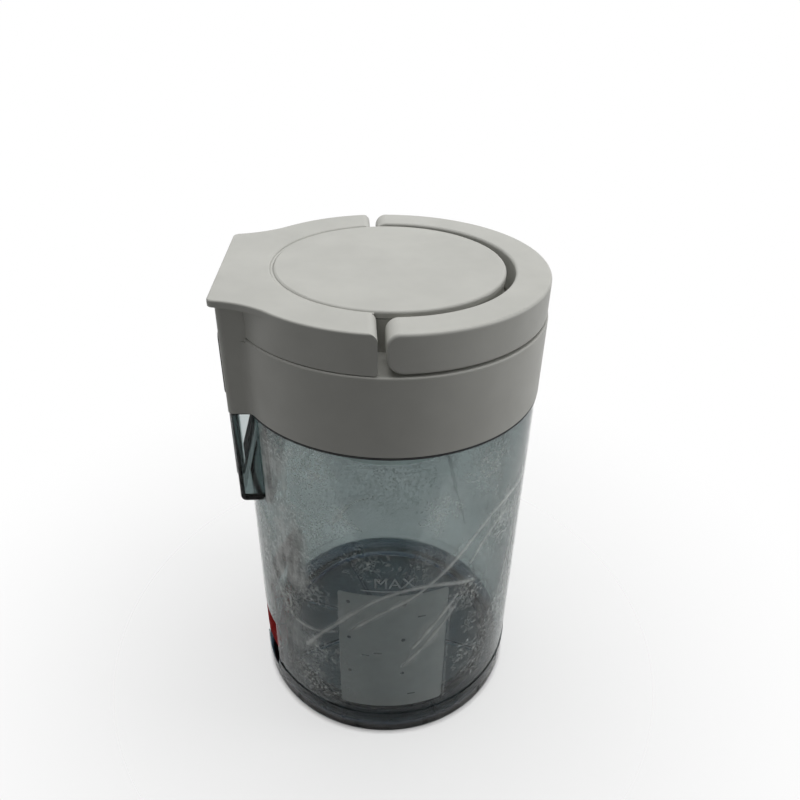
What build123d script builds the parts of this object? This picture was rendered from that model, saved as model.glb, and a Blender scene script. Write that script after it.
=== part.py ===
"""Cyclone dust bin: a clear tank under a round head with a folding bow handle.

Frame: millimetres, +Z up, origin on the tank's axis at floor level.
The dock side is -X, the bow of the handle lies at +X.
"""
from build123d import *
import math
import os

# Heights, stacked from the floor up
lid_height = 7.2            # rim of the bottom lid
lid_gap = 0.8               # seam between lid and tank
tank_height = 183.0         # clear tank
gasket_thickness = 0.8      # black line between tank and head
head_height = 38.4          # grey ring up to the ledge
rim_height = 18.8           # handle and top cover above the ledge

# Radii and walls
tank_radius = 74.2
tank_wall = 2.4
head_step = 1.0             # the head stands out from the tank
head_wall = 2.6
deck_thickness = 2.6        # roof of the head ring
rim_step = 0.6              # handle and cover stand back from the head
ledge_round = 0.8

# Handle
handle_width = 16.4         # across the bow, radially
handle_lift = 1.0           # shadow gap over the ledge
handle_end_x = -4.7         # rounded ends reach just past the middle
handle_crown_round = 5.6    # upper corner of the ends, in side view
handle_foot_round = 7.2     # lower corner, which passes over the ledge as it swings
handle_edge_round = 1.4
handle_skin = 2.6           # wall round the hollows in its underside
handle_roof = 3.0
handle_rib = 1.8
handle_rib_angle = 30.0
handle_boss_gap = 0.3       # drum's bosses to the bow
pivot_boss_radius = 5.0
pivot_pin_radius = 2.5
pivot_pin_depth = 9.0       # how far a pin reaches into the handle

# Centre disc and top cover
cap_gap = 4.2               # finger gap between disc and handle
cap_thickness = 3.2
cap_edge_round = 1.3
cap_lip_depth = 2.4
cap_lip_wall = 2.6
cap_seal_thickness = 0.6
groove_width = 1.2          # between disc and top cover
drum_inset = 0.6            # drum stands back under the disc
drum_wall = 2.6
notch_width = 3.4           # between cover ends and handle ends
cover_end_round = 4.0
cover_foot_round = 1.4      # lower corner of the ends
cover_wall = 2.6
cover_lift = 0.5            # seam between cover and ledge
cover_edge_round = 0.9

# Spout and column on the dock side
spout_projection = 2.6      # beyond the head's radius
spout_half_width = 41.5
spout_corner = 3.5
spout_sweep_angle = 133.6   # where the concave flanks leave the round
plate_overhang = 2.4        # spout plate over the column
column_wall = 2.4
column_depth = 17.8         # column back face to its inner wall
column_corner = 3.0
column_blend = 5.0
clean_duct_half_width = 30.0
outlet_half_width = 27.0
outlet_height = 24.0
outlet_rise = 9.2           # outlet sill over the head's bottom

# Inlet box, clear, under the column
box_step = 0.6              # box stands back from the column
box_height = 52.0
box_floor = 4.0
box_corner = 3.0
box_under_round = 2.4
inlet_half_width = 26.0
inlet_height = 31.0
inlet_rise = 14.0            # inlet sill over the box's underside
throat_rise = 9.8           # throat sill over the box's underside
throat_low_y = 10.0         # opening from the box into the tank
throat_high_y = 34.0
throat_height = 37.0
seal_frame_thickness = 1.6
seal_frame_width = 3.2
seal_frame_margin = 0.8

# Foot band, ticks and latch pocket of the tank
band_height = 7.5
band_step = 0.5
tick_count = 12
tick_width = 1.4
tick_depth = 0.8
tick_margin = 0.5
pocket_half_width = 36.5
pocket_height = 40.0
pocket_depth = 17.0         # from the tank's radius to the pocket's back wall
pocket_wall = 2.4
pocket_side_wall = 2.4
flange_inner = 60.5         # opening that the dust falls through
flange_thickness = 2.4

# Bottom lid
lid_floor_level = 2.0
lid_floor = 2.6
lid_foot_width = 6.2        # ring that the bin stands on
lid_rib = 1.6
lid_rib_count = 8
lid_rib_lift = 0.4          # ribs stay off the floor
lid_hub_radius = 22.0
groove_inset = 1.0          # seal groove, out from the tank's opening
groove_ring_width = 3.4
groove_depth = 1.6
groove_wall = 1.8
seal_clearance = 0.2
seal_lip = 1.2              # raised bead of the seal
seal_gap = 0.05             # bead to flange

# Hinge of the lid
hinge_inset = 2.0           # hinge axis in from the tank's radius
hinge_level = 2.6
knuckle_radius = 2.4
hinge_pin_radius = 1.0
hinge_inner_half = 7.9      # lid's knuckle
hinge_outer_half = 13.0     # tank's ears
hinge_side_gap = 0.3
hinge_front_gap = 0.4       # lid's window to the ears
hinge_window_gap = 0.5      # beside the ears
ear_cover = 1.7             # web of an ear, out from the hinge axis

# Release latch
latch_gap = 0.4             # lever to pocket wall
latch_flush = 0.3           # lever's face stands back from the tank's radius
latch_skin = 2.2
latch_face_rise = 19.0      # lever's lower edge over the tank's bottom
latch_head_room = 2.4
latch_pin_radius = 1.5
latch_tube_radius = 2.9
latch_pivot_inset = 13.0    # pin axis in from the tank's radius
latch_pivot_rise = 24.0     # pin axis over the tank's bottom
latch_rib = 2.0
hook_half_width = 8.5
hook_low = 2.4
hook_nose_height = 2.2
hook_leg = 2.1
catch_inset = 3.4           # lid's catch face, in from the rim
hook_clearance = 0.3
catch_height = 2.2
catch_undercut = 1.2
grip_count = 3
grip_groove = 1.2
grip_groove_depth = 0.5
grip_spacing = 3.0
spring_rise = 33.0
spring_radius = 2.2
spring_wire = 0.35          # half the side of the square wire
spring_turns = 5
spring_post_radius = 1.4
spring_post_length = 3.0

# Cyclone and filter in the head
ceiling_thickness = 2.4
ceiling_lip_drop = 2.2
ceiling_lip_wall = 1.8
ceiling_gap = 0.5
ceiling_lift = 0.3          # over the head's bottom edge
sleeve_wall = 2.4
seat_thickness = 2.4
seat_width = 6.8
shroud_inset = 6.5          # shroud inside the filter sleeve
shroud_wall = 1.6
shroud_height = 29.5
shroud_flange = 3.6
flange_gap = 0.3            # round the shroud's flange
slot_count = 24
slot_width = 5.0
slot_margin = 6.0
cone_top_radius = 43.0
cone_tip_radius = 10.0
cone_height = 117.0
cone_wall = 1.8
cone_flange = 3.0
tube_radius = 18.0
tube_wall = 1.8
tube_length = 26.0
tube_plate_thickness = 2.0
filter_gap = 0.5
filter_ring = 3.6
filter_height = 23.0
filter_bar_count = 3
filter_bar = 3.0
filter_bar_thickness = 2.0
filter_seal_thickness = 2.0
pleat_count = 12
pleat_height = 17.0
pleat_rise = 4.0
pleat_gap = 0.3

# Screws that hold the top cover
screw_radius = 1.5
screw_head_radius = 2.9
screw_head_height = 2.0
screw_length = 9.5
screw_hole_gap = 0.2
screw_boss_radius = 3.6
screw_circle_inset = 10.1   # screw circle in from the rim
screw_angles = (112.0, 138.0, 222.0, 248.0)

# Film and label on the tank
film_gap = 0.3
film_thickness = 0.2
film_low = 1.0              # over the foot band
film_height = 173.5
film_half_angle = 146.0     # the dock side is left free
film_tab_half_angle = 160.0  # wider between latch and inlet box
film_tab_gap = 3.0
label_gap = 0.05            # the label lies under the film
label_thickness = 0.12
label_width = 56.0
label_height = 86.0
label_rise = 14.5           # over the tank's bottom
label_corner = 2.0

# Clearances of the pins
running_gap = 0.05
pressed_gap = 0.02
seat_gap = 0.2

# Levels that follow
tank_bottom = lid_height + lid_gap
tank_top = tank_bottom + tank_height
head_bottom = tank_top + gasket_thickness
ledge_level = head_bottom + head_height
top_level = ledge_level + rim_height
plate_bottom = top_level - cap_thickness
drum_top = plate_bottom - cap_seal_thickness
deck_bottom = ledge_level - deck_thickness
handle_bottom = ledge_level + handle_lift
handle_half_height = (top_level - handle_bottom) / 2
pivot_x = handle_end_x + handle_half_height
pivot_z = handle_bottom + handle_half_height
box_bottom = tank_top - box_height
ceiling_bottom = head_bottom + ceiling_lift
ceiling_top = ceiling_bottom + ceiling_thickness
seat_top = ceiling_top + seat_thickness
shroud_bottom = ceiling_top - shroud_height
cone_top = shroud_bottom - cone_flange
band_top = tank_bottom + band_height
flange_top = tank_bottom + flange_thickness
pocket_top = tank_bottom + pocket_height

# Radii and reaches that follow
tank_inner = tank_radius - tank_wall
head_radius = tank_radius + head_step
head_inner = head_radius - head_wall
rim_radius = head_radius - rim_step
handle_inner = rim_radius - handle_width
cap_radius = handle_inner - cap_gap
cover_inner = cap_radius + groove_width
drum_radius = cap_radius - drum_inset
drum_inner = drum_radius - drum_wall
spout_reach = head_radius + spout_projection
column_reach = spout_reach - plate_overhang
column_half_width = spout_half_width - plate_overhang
column_front = column_reach - column_depth
box_reach = column_reach - box_step
box_half_width = column_half_width - box_step
box_depth = box_reach - column_front
cover_end_x = handle_end_x - notch_width
pocket_back = tank_radius - pocket_depth
groove_inner = flange_inner + groove_inset
hinge_x = tank_radius - hinge_inset
latch_pivot_x = latch_pivot_inset - tank_radius
latch_pivot_z = tank_bottom + latch_pivot_rise
latch_radius = tank_radius - latch_flush
sleeve_radius = drum_inner + sleeve_wall
shroud_radius = drum_inner - shroud_inset
screw_circle = rim_radius - screw_circle_inset
far = 4 * head_radius       # longer than anything it cuts


def between(low, high):
    """Middle and length of a span."""
    return (low + high) / 2, high - low


def block(x_span, y_span, z_span):
    """Rectangular block between two corners."""
    x, length = between(*x_span)
    y, width = between(*y_span)
    z, height = between(*z_span)
    return Pos(x, y, z) * Box(length, width, height)


def disc(radius, low, high):
    """Upright cylinder between two levels."""
    z, height = between(low, high)
    return Pos(0, 0, z) * Cylinder(radius, height)


def ring(outer, inner, low, high):
    """Upright ring between two levels."""
    return disc(outer, low, high) - disc(inner, low, high)


def cross_bar(radius, x, z, low_y, high_y):
    """Round bar along Y."""
    y, length = between(low_y, high_y)
    return Pos(x, y, z) * Rot(90, 0, 0) * Cylinder(radius, length)


def turned(points):
    """Ring turned about the tank's axis from (radius, level) points."""
    return revolve(Plane.XZ * Polygon(*points, align=None), Axis.Z)


def raised(plan, low, high):
    """Plan drawn at floor level, extruded between two levels."""
    return extrude(Pos(0, 0, low) * plan, high - low)


def side_profile(sketch):
    """Side view drawn in X and Z, extruded right across the bin."""
    return extrude(Plane.XZ * sketch, far / 2, both=True)


def dock_plan(radius, reach, half_width, corner, blend):
    """Round plan that sweeps out to a flat dock side."""
    plan = Circle(radius) + Pos(-reach / 2, 0) * Rectangle(reach, 2 * half_width)
    corners = [v for v in plan.vertices() if abs(v.X + reach) < 1e-3]
    plan = fillet(corners, corner)
    meet_x = -math.sqrt(radius ** 2 - half_width ** 2)
    creases = [v for v in plan.vertices() if abs(v.X - meet_x) < 1e-3 and v.X < 0]
    return fillet(creases, blend)


def spout_plan():
    """Plan of the top cover: round, with flanks that sweep out to the spout's straight edge."""
    angle = math.radians(spout_sweep_angle)
    outward = Vector(math.cos(angle), math.sin(angle))
    start = outward * rim_radius
    tip = Vector(-spout_reach, spout_half_width)
    reach = outward.dot(tip)
    excess = rim_radius ** 2 + tip.dot(tip) - 2 * rim_radius * reach
    sweep_radius = excess / (2 * (reach - rim_radius))
    centre = outward * (rim_radius + sweep_radius)
    middle = centre + ((start + tip) / 2 - centre).normalized() * sweep_radius
    flank = ThreePointArc(start, middle, tip)
    edge = Line(tip, (tip.X, -tip.Y))
    chord = Line((start.X, -start.Y), start)
    plan = Circle(rim_radius) + make_face([flank, edge, mirror(flank, Plane.XZ), chord])
    corners = [v for v in plan.vertices() if abs(v.X + spout_reach) < 1e-3]
    return fillet(corners, spout_corner)


def dock_slab(reach, front, half_width, low, high, corner):
    """Upright block at the dock side with rounded outer corners."""
    slab = block((-reach, -front), (-half_width, half_width), (low, high))
    outer = [e for e in slab.edges().filter_by(Axis.Z) if e.center().X < -reach + 1e-3]
    return fillet(outer, corner)


def ticks(radius, low, high, first_angle):
    """Small upright notches evenly round a rim."""
    places = PolarLocations(radius, tick_count, start_angle=first_angle)
    z, height = between(low, high)
    return [Pos(0, 0, z) * place * Box(2 * tick_depth, tick_width, height) for place in places]


def port_frame(face_x, half_width, low, high):
    """Rubber frame that stands on a dock port."""
    z, height = between(low, high)
    inner = (2 * (half_width + seal_frame_margin), height + 2 * seal_frame_margin)
    outer = (inner[0] + 2 * seal_frame_width, inner[1] + 2 * seal_frame_width)
    frame = RectangleRounded(*outer, seal_frame_width) - RectangleRounded(*inner, seal_frame_margin)
    face = Plane(origin=(face_x, 0, z), x_dir=(0, 1, 0), z_dir=(-1, 0, 0))
    return extrude(face * frame, seal_frame_thickness)


def make_tank():
    """Clear tank: round wall, inlet box, foot band, latch pocket and hinge ears."""
    body = disc(tank_radius, tank_bottom, tank_top)
    body += disc(tank_radius + band_step, tank_bottom, band_top)
    box = dock_slab(box_reach, column_front, box_half_width, box_bottom, tank_top, box_corner)
    under = [e for e in box.faces().sort_by(Axis.Z)[0].edges() if e.center().X < -column_front - 1e-3]
    box = fillet(under, box_under_round)
    body += box

    # Dust space, with the box and the pocket's walls left standing
    space = disc(tank_inner, flange_top, tank_top)
    space += disc(flange_inner, tank_bottom, flange_top)
    space -= block((-far, -column_front), (-box_half_width, box_half_width), (box_bottom, tank_top))
    pocket_out = pocket_half_width + pocket_side_wall
    space -= block(
        (-far, pocket_wall - pocket_back),
        (-pocket_out, pocket_out),
        (tank_bottom, pocket_top + pocket_wall),
    )
    body -= space

    # Inlet box: hollow, dock port and throat into the tank
    wall = column_wall
    body -= block(
        (wall - box_reach, -column_front - wall),
        (wall - box_half_width, box_half_width - wall),
        (box_bottom + box_floor, tank_top),
    )
    sill = box_bottom + inlet_rise
    port = (-inlet_half_width, inlet_half_width)
    body -= block((-far, -column_front - wall), port, (sill, sill + inlet_height))
    throat_sill = box_bottom + throat_rise
    body -= block(
        (-column_front - 2 * wall, wall - column_front),
        (throat_low_y, throat_high_y),
        (throat_sill, throat_sill + throat_height),
    )

    # Latch pocket with a slot for the hook and its pin holes
    body -= block((-far, -pocket_back), (-pocket_half_width, pocket_half_width), (flange_top, pocket_top))
    slot_half = hook_half_width + latch_gap
    body -= block((-far, hook_leg + 2 * latch_gap - latch_radius), (-slot_half, slot_half), (0, flange_top))
    pin_half = pocket_half_width + pocket_side_wall - pressed_gap
    body -= cross_bar(latch_pin_radius + pressed_gap, latch_pivot_x, latch_pivot_z, -pin_half, pin_half)

    # Hinge ears below the wall
    for side in (-1, 1):
        span = sorted((side * (hinge_inner_half + hinge_side_gap), side * hinge_outer_half))
        ear = cross_bar(knuckle_radius, hinge_x, hinge_level, *span)
        web = (tank_inner, hinge_x + ear_cover)
        ear += block(web, span, (hinge_level, tank_bottom + band_height / 2))
        body += ear & disc(tank_radius + band_step, 0, band_top)
    body -= cross_bar(hinge_pin_radius + pressed_gap, hinge_x, hinge_level, -far, far)
    return body - ticks(tank_radius + band_step, tank_bottom + tick_margin, band_top - tick_margin, 0)


def make_tank_gasket():
    """Flat gasket between the rims of tank and head, round the inlet box too."""
    plan = Circle(tank_radius - seat_gap) - Circle(tank_inner)
    walls = 2 * column_wall
    middle = Pos(box_depth / 2 - box_reach, 0)
    outside = middle * Rectangle(box_depth, 2 * box_half_width)
    outer = [v for v in outside.vertices() if v.X < 1e-3 - box_reach]
    outside = fillet(outer, box_corner)
    inside = middle * Rectangle(box_depth - walls, 2 * box_half_width - walls)
    plan = plan - outside + (outside - inside)
    return raised(plan, tank_top, head_bottom)


def make_head():
    """Grey ring with the dock column, the drum under the disc and the filter well."""
    plan = dock_plan(head_radius, column_reach, column_half_width, column_corner, column_blend)
    body = disc(head_radius, head_bottom, ledge_level)
    body = fillet(body.faces().sort_by(Axis.Z)[-1].edges(), ledge_round)
    blend_top = ledge_level - 2 * ledge_round
    body += raised(plan, head_bottom, blend_top)
    column_top = plate_bottom - seat_gap
    column_low = blend_top - ledge_round
    body += dock_slab(column_reach, column_front, column_half_width, column_low, column_top, column_corner)
    body += disc(drum_radius, deck_bottom, drum_top)

    # Covered duct from the drum to the column
    duct_out = clean_duct_half_width + column_wall
    body += block((-column_front - column_wall, 0), (-duct_out, duct_out), (deck_bottom, drum_top))

    # Ring space under the deck, round the filter well
    space = disc(head_inner, head_bottom, deck_bottom)
    space -= block((-far, -column_front), (-column_half_width, column_half_width), (head_bottom, deck_bottom))
    space -= disc(sleeve_radius, ceiling_top, deck_bottom)
    body -= space

    # Filter well with the seat at its foot
    body -= disc(drum_inner, seat_top, drum_top)
    body -= disc(drum_inner - seat_width, ceiling_top, seat_top)

    # Clean-air way: duct, column and outlet port
    inner_front = -column_front - column_wall
    duct_roof = drum_top - column_wall
    half = clean_duct_half_width
    body -= block((inner_front - column_wall, 0), (-half, half), (ledge_level, duct_roof))
    body -= block(
        (column_wall - column_reach, inner_front),
        (column_wall - column_half_width, column_half_width - column_wall),
        (head_bottom + column_wall, column_top - column_wall),
    )
    sill = head_bottom + outlet_rise
    body -= block((-far, inner_front), (-outlet_half_width, outlet_half_width), (sill, sill + outlet_height))

    # Pivot bosses of the handle
    boss_end = math.sqrt(handle_inner ** 2 - (pivot_x + pivot_boss_radius) ** 2) - handle_boss_gap
    boss_start = drum_inner - drum_wall
    for side in (-1, 1):
        span = sorted((side * boss_start, side * boss_end))
        boss = cross_bar(pivot_boss_radius, pivot_x, pivot_z, *span)
        body += boss - disc(drum_inner, seat_top, drum_top)
        hole = sorted((side * drum_inner, side * far))
        body -= cross_bar(pivot_pin_radius + pressed_gap, pivot_x, pivot_z, *hole)

    z, height = between(deck_bottom, ledge_level)
    return body - [place * Cylinder(screw_radius + screw_hole_gap, height) for place in screw_places(z)]


def screw_places(level):
    """Places of the cover screws at one level."""
    return [
        Pos(screw_circle * math.cos(math.radians(a)), screw_circle * math.sin(math.radians(a)), level)
        for a in screw_angles
    ]


def make_cover():
    """Half-ring cover whose plate sweeps out over the dock column."""
    plate = raised(spout_plan(), plate_bottom, top_level) - disc(cover_inner, plate_bottom, top_level)
    plate = fillet(plate.faces().sort_by(Axis.Z)[-1].edges(), cover_edge_round)
    low = ledge_level + cover_lift

    # Skirt, inner wall and end walls, left out where the column and its duct stand
    skirt = ring(rim_radius, rim_radius - cover_wall, low, plate_bottom)
    skirt += ring(cover_inner + cover_wall, cover_inner, low, plate_bottom)
    ends = block((cover_end_x - cover_wall, cover_end_x), (-far, far), (low, plate_bottom))
    skirt += ends & ring(rim_radius, cover_inner, low, plate_bottom)
    room = column_half_width + seat_gap
    skirt -= block((-far, cover_end_x - 2 * cover_end_round), (-room, room), (0, plate_bottom))
    body = plate + skirt

    # Ends at the notches have rounded corners in side view, larger above
    middle, height = between(low, top_level)
    side = Pos(cover_end_x - far / 2, middle) * Rectangle(far, height)
    foot = side.vertices().sort_by(Axis.X)[-2:].sort_by(Axis.Y)[0]
    side = fillet(foot, cover_foot_round)
    crown = side.vertices().sort_by(Axis.Y)[-2:].sort_by(Axis.X)[-1]
    body = body & side_profile(fillet(crown, cover_end_round))

    z, height = between(ledge_level, plate_bottom)
    for place in screw_places(z):
        body += place * Cylinder(screw_boss_radius, height)
    for place in screw_places(ledge_level + screw_length / 2):
        body -= place * Cylinder(screw_radius + pressed_gap, screw_length)
    return body


def make_cap():
    """Plain disc with a rounded edge and a locating lip."""
    body = disc(cap_radius, plate_bottom, top_level)
    body = fillet(body.faces().sort_by(Axis.Z)[-1].edges(), cap_edge_round)
    lip = drum_inner - seat_gap
    return body + ring(lip, lip - cap_lip_wall, plate_bottom - cap_lip_depth, plate_bottom)


def make_cap_seal():
    """Thin ring between drum and disc."""
    return ring(drum_radius - seat_gap, drum_inner + seat_gap, drum_top, plate_bottom)


def make_handle():
    """Bow handle with round-cornered ends and a ribbed hollow underside."""
    bow = ring(rim_radius, handle_inner, handle_bottom, top_level)
    side = Pos(handle_end_x + far / 2, pivot_z) * Rectangle(far, 2 * handle_half_height)
    foot = side.vertices().sort_by(Axis.X)[:2].sort_by(Axis.Y)[0]
    side = fillet(foot, handle_foot_round)
    crown = side.vertices().sort_by(Axis.Y)[-2:].sort_by(Axis.X)[0]
    body = bow & side_profile(fillet(crown, handle_crown_round))
    edges = [e for e in body.edges() if e.geom_type != GeomType.LINE]
    body = fillet(edges, handle_edge_round)

    hollow = ring(rim_radius - handle_skin, handle_inner + handle_skin, 0, top_level - handle_roof)
    hollow &= block((pivot_x + 2 * handle_half_height, far), (-far, far), (0, far))
    rib_count = round(180 / handle_rib_angle)
    rib = block((0, far), (-handle_rib / 2, handle_rib / 2), (0, far))
    for i in range(rib_count + 1):
        hollow -= Rot(0, 0, i * handle_rib_angle - 90) * rib
    body -= hollow
    reach = handle_inner + pivot_pin_depth + running_gap
    return body - cross_bar(pivot_pin_radius + running_gap, pivot_x, pivot_z, -reach, reach)


def make_handle_pins():
    """Two short pins pressed into the drum's bosses."""
    start = drum_inner + seat_gap
    end = handle_inner + pivot_pin_depth - seat_gap
    spans = ((-end, -start), (start, end))
    return [cross_bar(pivot_pin_radius, pivot_x, pivot_z, *span) for span in spans]


def make_cover_screws():
    """Pan-head screws from under the deck up into the cover's bosses."""
    top = ledge_level + screw_length - seat_gap
    z, length = between(deck_bottom, top)
    screws = []
    for shank, head in zip(screw_places(z), screw_places(deck_bottom - screw_head_height / 2)):
        screw = shank * Cylinder(screw_radius, length)
        screws.append(screw + head * Cylinder(screw_head_radius, screw_head_height))
    return screws


def make_ceiling():
    """Plate between the head and the dust space, with a lip inside the tank."""
    outer = tank_inner - ceiling_gap
    body = disc(outer, ceiling_bottom, ceiling_top)
    body += ring(outer, outer - ceiling_lip_wall, tank_top - ceiling_lip_drop, ceiling_top)
    body -= disc(shroud_radius + shroud_flange + flange_gap, 0, ceiling_top)
    return body - block((-far, seat_gap - column_front), (-far, far), (0, far))


def make_shroud():
    """Slotted sleeve that hangs round the outlet tube, open at both ends."""
    body = disc(shroud_radius, shroud_bottom, ceiling_top)
    body += disc(shroud_radius + shroud_flange, ceiling_bottom, ceiling_top)
    body -= disc(shroud_radius - shroud_wall, shroud_bottom, ceiling_top)
    z, height = between(shroud_bottom + slot_margin, ceiling_bottom - slot_margin)
    slots = PolarLocations(shroud_radius, slot_count)
    through = 4 * shroud_wall
    return body - [Pos(0, 0, z) * place * Box(through, slot_width, height) for place in slots]


def make_cone():
    """Dust cone below the shroud, open at its tip."""
    tip = cone_top - cone_height
    flange_top = cone_top + cone_flange
    return turned([
        (cone_top_radius - cone_wall, flange_top),
        (shroud_radius, flange_top),
        (shroud_radius, cone_top),
        (cone_top_radius, cone_top),
        (cone_tip_radius, tip),
        (cone_tip_radius - cone_wall, tip),
        (cone_top_radius - cone_wall, cone_top),
    ])


def make_vortex_tube():
    """Outlet tube under a plate that rests on the shroud's rim and closes it."""
    plate_radius = drum_inner - seat_width - seat_gap
    body = disc(tube_radius, ceiling_top - tube_length, ceiling_top + tube_plate_thickness)
    body += disc(plate_radius, ceiling_top, ceiling_top + tube_plate_thickness)
    return body - disc(tube_radius - tube_wall, 0, far)


def make_filter_seal():
    """Flat ring under the filter's frame."""
    outer = drum_inner - filter_gap
    return ring(outer, drum_inner - seat_width, seat_top, seat_top + filter_seal_thickness)


def make_filter_frame():
    """Ring round the pleats, with cross bars below them."""
    outer = drum_inner - filter_gap
    low = seat_top + filter_seal_thickness
    body = ring(outer, outer - filter_ring, low, low + filter_height)
    bar = block((-outer, outer), (-filter_bar / 2, filter_bar / 2), (low, low + filter_bar_thickness))
    bar &= disc(outer, low, low + filter_height)
    for i in range(filter_bar_count):
        body += Rot(0, 0, i * 180 / filter_bar_count) * bar
    return body


def make_filter_pleats():
    """Folded filter sheet, cut round to fit its frame."""
    radius = drum_inner - filter_gap - filter_ring - pleat_gap
    low = seat_top + filter_seal_thickness + filter_bar_thickness + pleat_gap
    fold = radius / pleat_count
    lower = [(-radius + i * fold, low + (i % 2) * pleat_height) for i in range(2 * pleat_count + 1)]
    upper = [(x, z + pleat_rise) for x, z in reversed(lower)]
    sheet = side_profile(Polygon(*lower, *upper, align=None))
    return sheet & disc(radius, low, low + pleat_height + pleat_rise)


def make_lid():
    """Bottom lid: standing ring, floor with ribs, seal groove, hinge knuckle and catch."""
    body = disc(tank_radius, 0, lid_height)
    body -= disc(tank_radius - lid_foot_width, 0, lid_floor_level)
    body -= disc(groove_inner - groove_wall, lid_floor_level + lid_floor, lid_height)
    body -= ring(groove_inner + groove_ring_width, groove_inner, lid_height - groove_depth, lid_height)

    # Stiffening ribs in the recess under the floor
    foot_inner = tank_radius - lid_foot_width
    ribs = ring(lid_hub_radius, lid_hub_radius - lid_rib, lid_rib_lift, lid_floor_level)
    for i in range(lid_rib_count):
        ribs += Rot(0, 0, (i + 0.5) * 360 / lid_rib_count) * block(
            (lid_hub_radius - lid_rib / 2, foot_inner + lid_rib / 2),
            (-lid_rib / 2, lid_rib / 2),
            (lid_rib_lift, lid_floor_level),
        )
    body += ribs

    # Window for the tank's ears, with the lid's own knuckle in the middle
    window_half = hinge_outer_half + hinge_window_gap
    window_x = hinge_x - knuckle_radius - hinge_front_gap
    body -= block((window_x, far), (-window_half, window_half), (-far, far))
    knuckle = cross_bar(knuckle_radius, hinge_x, hinge_level, -hinge_inner_half, hinge_inner_half)
    knuckle += block(
        (window_x - lid_rib, hinge_x),
        (-hinge_inner_half, hinge_inner_half),
        (hinge_level - knuckle_radius, hinge_level + knuckle_radius),
    )
    body += knuckle
    body -= cross_bar(hinge_pin_radius + running_gap, hinge_x, hinge_level, -far, far)

    # Catch for the latch hook: the rim is cut back and undercut
    half = hook_half_width + latch_gap
    catch_x = catch_inset - tank_radius
    body -= block((-far, catch_x), (-half, half), (-far, far))
    body -= block((-far, catch_x + catch_undercut), (-half, half), (0, lid_height - catch_height))
    return body - ticks(tank_radius, tick_margin, lid_height - tick_margin, 180 / tick_count)


def make_lid_seal():
    """Rubber ring in the lid's groove, with a bead that meets the tank's flange."""
    outer = groove_inner + groove_ring_width - seal_clearance
    inner = groove_inner + seal_clearance
    low = lid_height - groove_depth
    top = tank_bottom - seal_gap
    return turned([
        (inner, low),
        (outer, low),
        (outer, low + seal_lip),
        (outer - seal_lip, top),
        (inner + seal_lip, top),
        (inner, low + seal_lip),
    ])


def make_hinge_pin():
    """Pin through the tank's ears and the lid's knuckle."""
    half = hinge_outer_half - pressed_gap
    return cross_bar(hinge_pin_radius, hinge_x, hinge_level, -half, half)


def make_latch():
    """Rocking lever flush with the tank, with a hook below and a finger grip above."""
    half = pocket_half_width - latch_gap
    low = tank_bottom + latch_face_rise
    high = pocket_top - latch_head_room
    grip_top = high - 2 * grip_groove
    skin = ring(latch_radius, latch_radius - latch_skin, low, high)
    for i in range(grip_count):
        z = grip_top - i * grip_spacing
        outside = latch_radius - grip_groove_depth
        skin -= ring(latch_radius, outside, z - grip_groove, z)
    body = skin & block((-far, 0), (-half, half), (low, high))

    # Tube on the pin, tied to the skin by ribs
    tube = cross_bar(latch_tube_radius, latch_pivot_x, latch_pivot_z, -half, half)
    body += tube
    inside = disc(latch_radius - latch_skin / 2, low, high)
    for y in (-half + latch_rib / 2, 0, half - latch_rib / 2):
        rib = block(
            (-latch_radius, latch_pivot_x),
            (y - latch_rib / 2, y + latch_rib / 2),
            (latch_pivot_z - latch_tube_radius, latch_pivot_z + latch_tube_radius),
        )
        body += rib & inside

    # Hook that reaches down beside the lid's catch
    leg_x = -latch_radius
    catch_x = catch_inset - tank_radius
    leg = block((leg_x, leg_x + hook_leg), (-hook_half_width, hook_half_width), (hook_low, low + latch_skin))
    leg += block(
        (leg_x, catch_x - hook_clearance),
        (-hook_half_width, hook_half_width),
        (hook_low, hook_low + hook_nose_height),
    )
    body += leg & disc(latch_radius, 0, far)

    # Post that centres the spring
    body += spring_bar(spring_post_radius, spring_seat_x(), spring_seat_x() + spring_post_length)
    return body - cross_bar(latch_pin_radius + running_gap, latch_pivot_x, latch_pivot_z, -far, far)


def spring_seat_x():
    """Inner face of the lever where the spring bears."""
    return latch_skin - latch_radius


def spring_bar(radius, low_x, high_x):
    """Round bar along X at the spring's place."""
    x, length = between(low_x - latch_skin / 2, high_x)
    return Pos(x, 0, tank_bottom + spring_rise) * Rot(0, 90, 0) * Cylinder(radius, length)


def make_latch_pin():
    """Pin across the latch pocket."""
    half = pocket_half_width + pocket_side_wall - 2 * pressed_gap - seat_gap
    return cross_bar(latch_pin_radius, latch_pivot_x, latch_pivot_z, -half, half)


def make_latch_spring():
    """Coil spring between the lever and the back of its pocket."""
    start = spring_seat_x() + spring_wire + seat_gap
    end = -pocket_back - spring_wire - pressed_gap
    length = end - start
    coil = Helix(pitch=length / spring_turns, height=length, radius=spring_radius)
    section = Plane(origin=coil @ 0, z_dir=coil % 0) * Rectangle(2 * spring_wire, 2 * spring_wire)
    spring = sweep(section, path=coil, is_frenet=True)
    return Pos(start, 0, tank_bottom + spring_rise) * Rot(0, 90, 0) * spring


def film_shell(half_angle, low, high):
    """Part of the film, centred on the side away from the dock."""
    inner = tank_radius + film_gap
    half_open = math.radians(180 - half_angle)
    wedge = Polygon((0, 0), (-far, far * math.tan(half_open)), (-far, -far * math.tan(half_open)), align=None)
    return ring(inner + film_thickness, inner, low, high) - raised(wedge, 0, far)


def make_film():
    """Thin clear film round the tank, cut back beside the latch and the inlet box."""
    low = band_top + film_low
    film = film_shell(film_half_angle, low, low + film_height)
    return film + film_shell(film_tab_half_angle, pocket_top, box_bottom - film_tab_gap)


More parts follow.
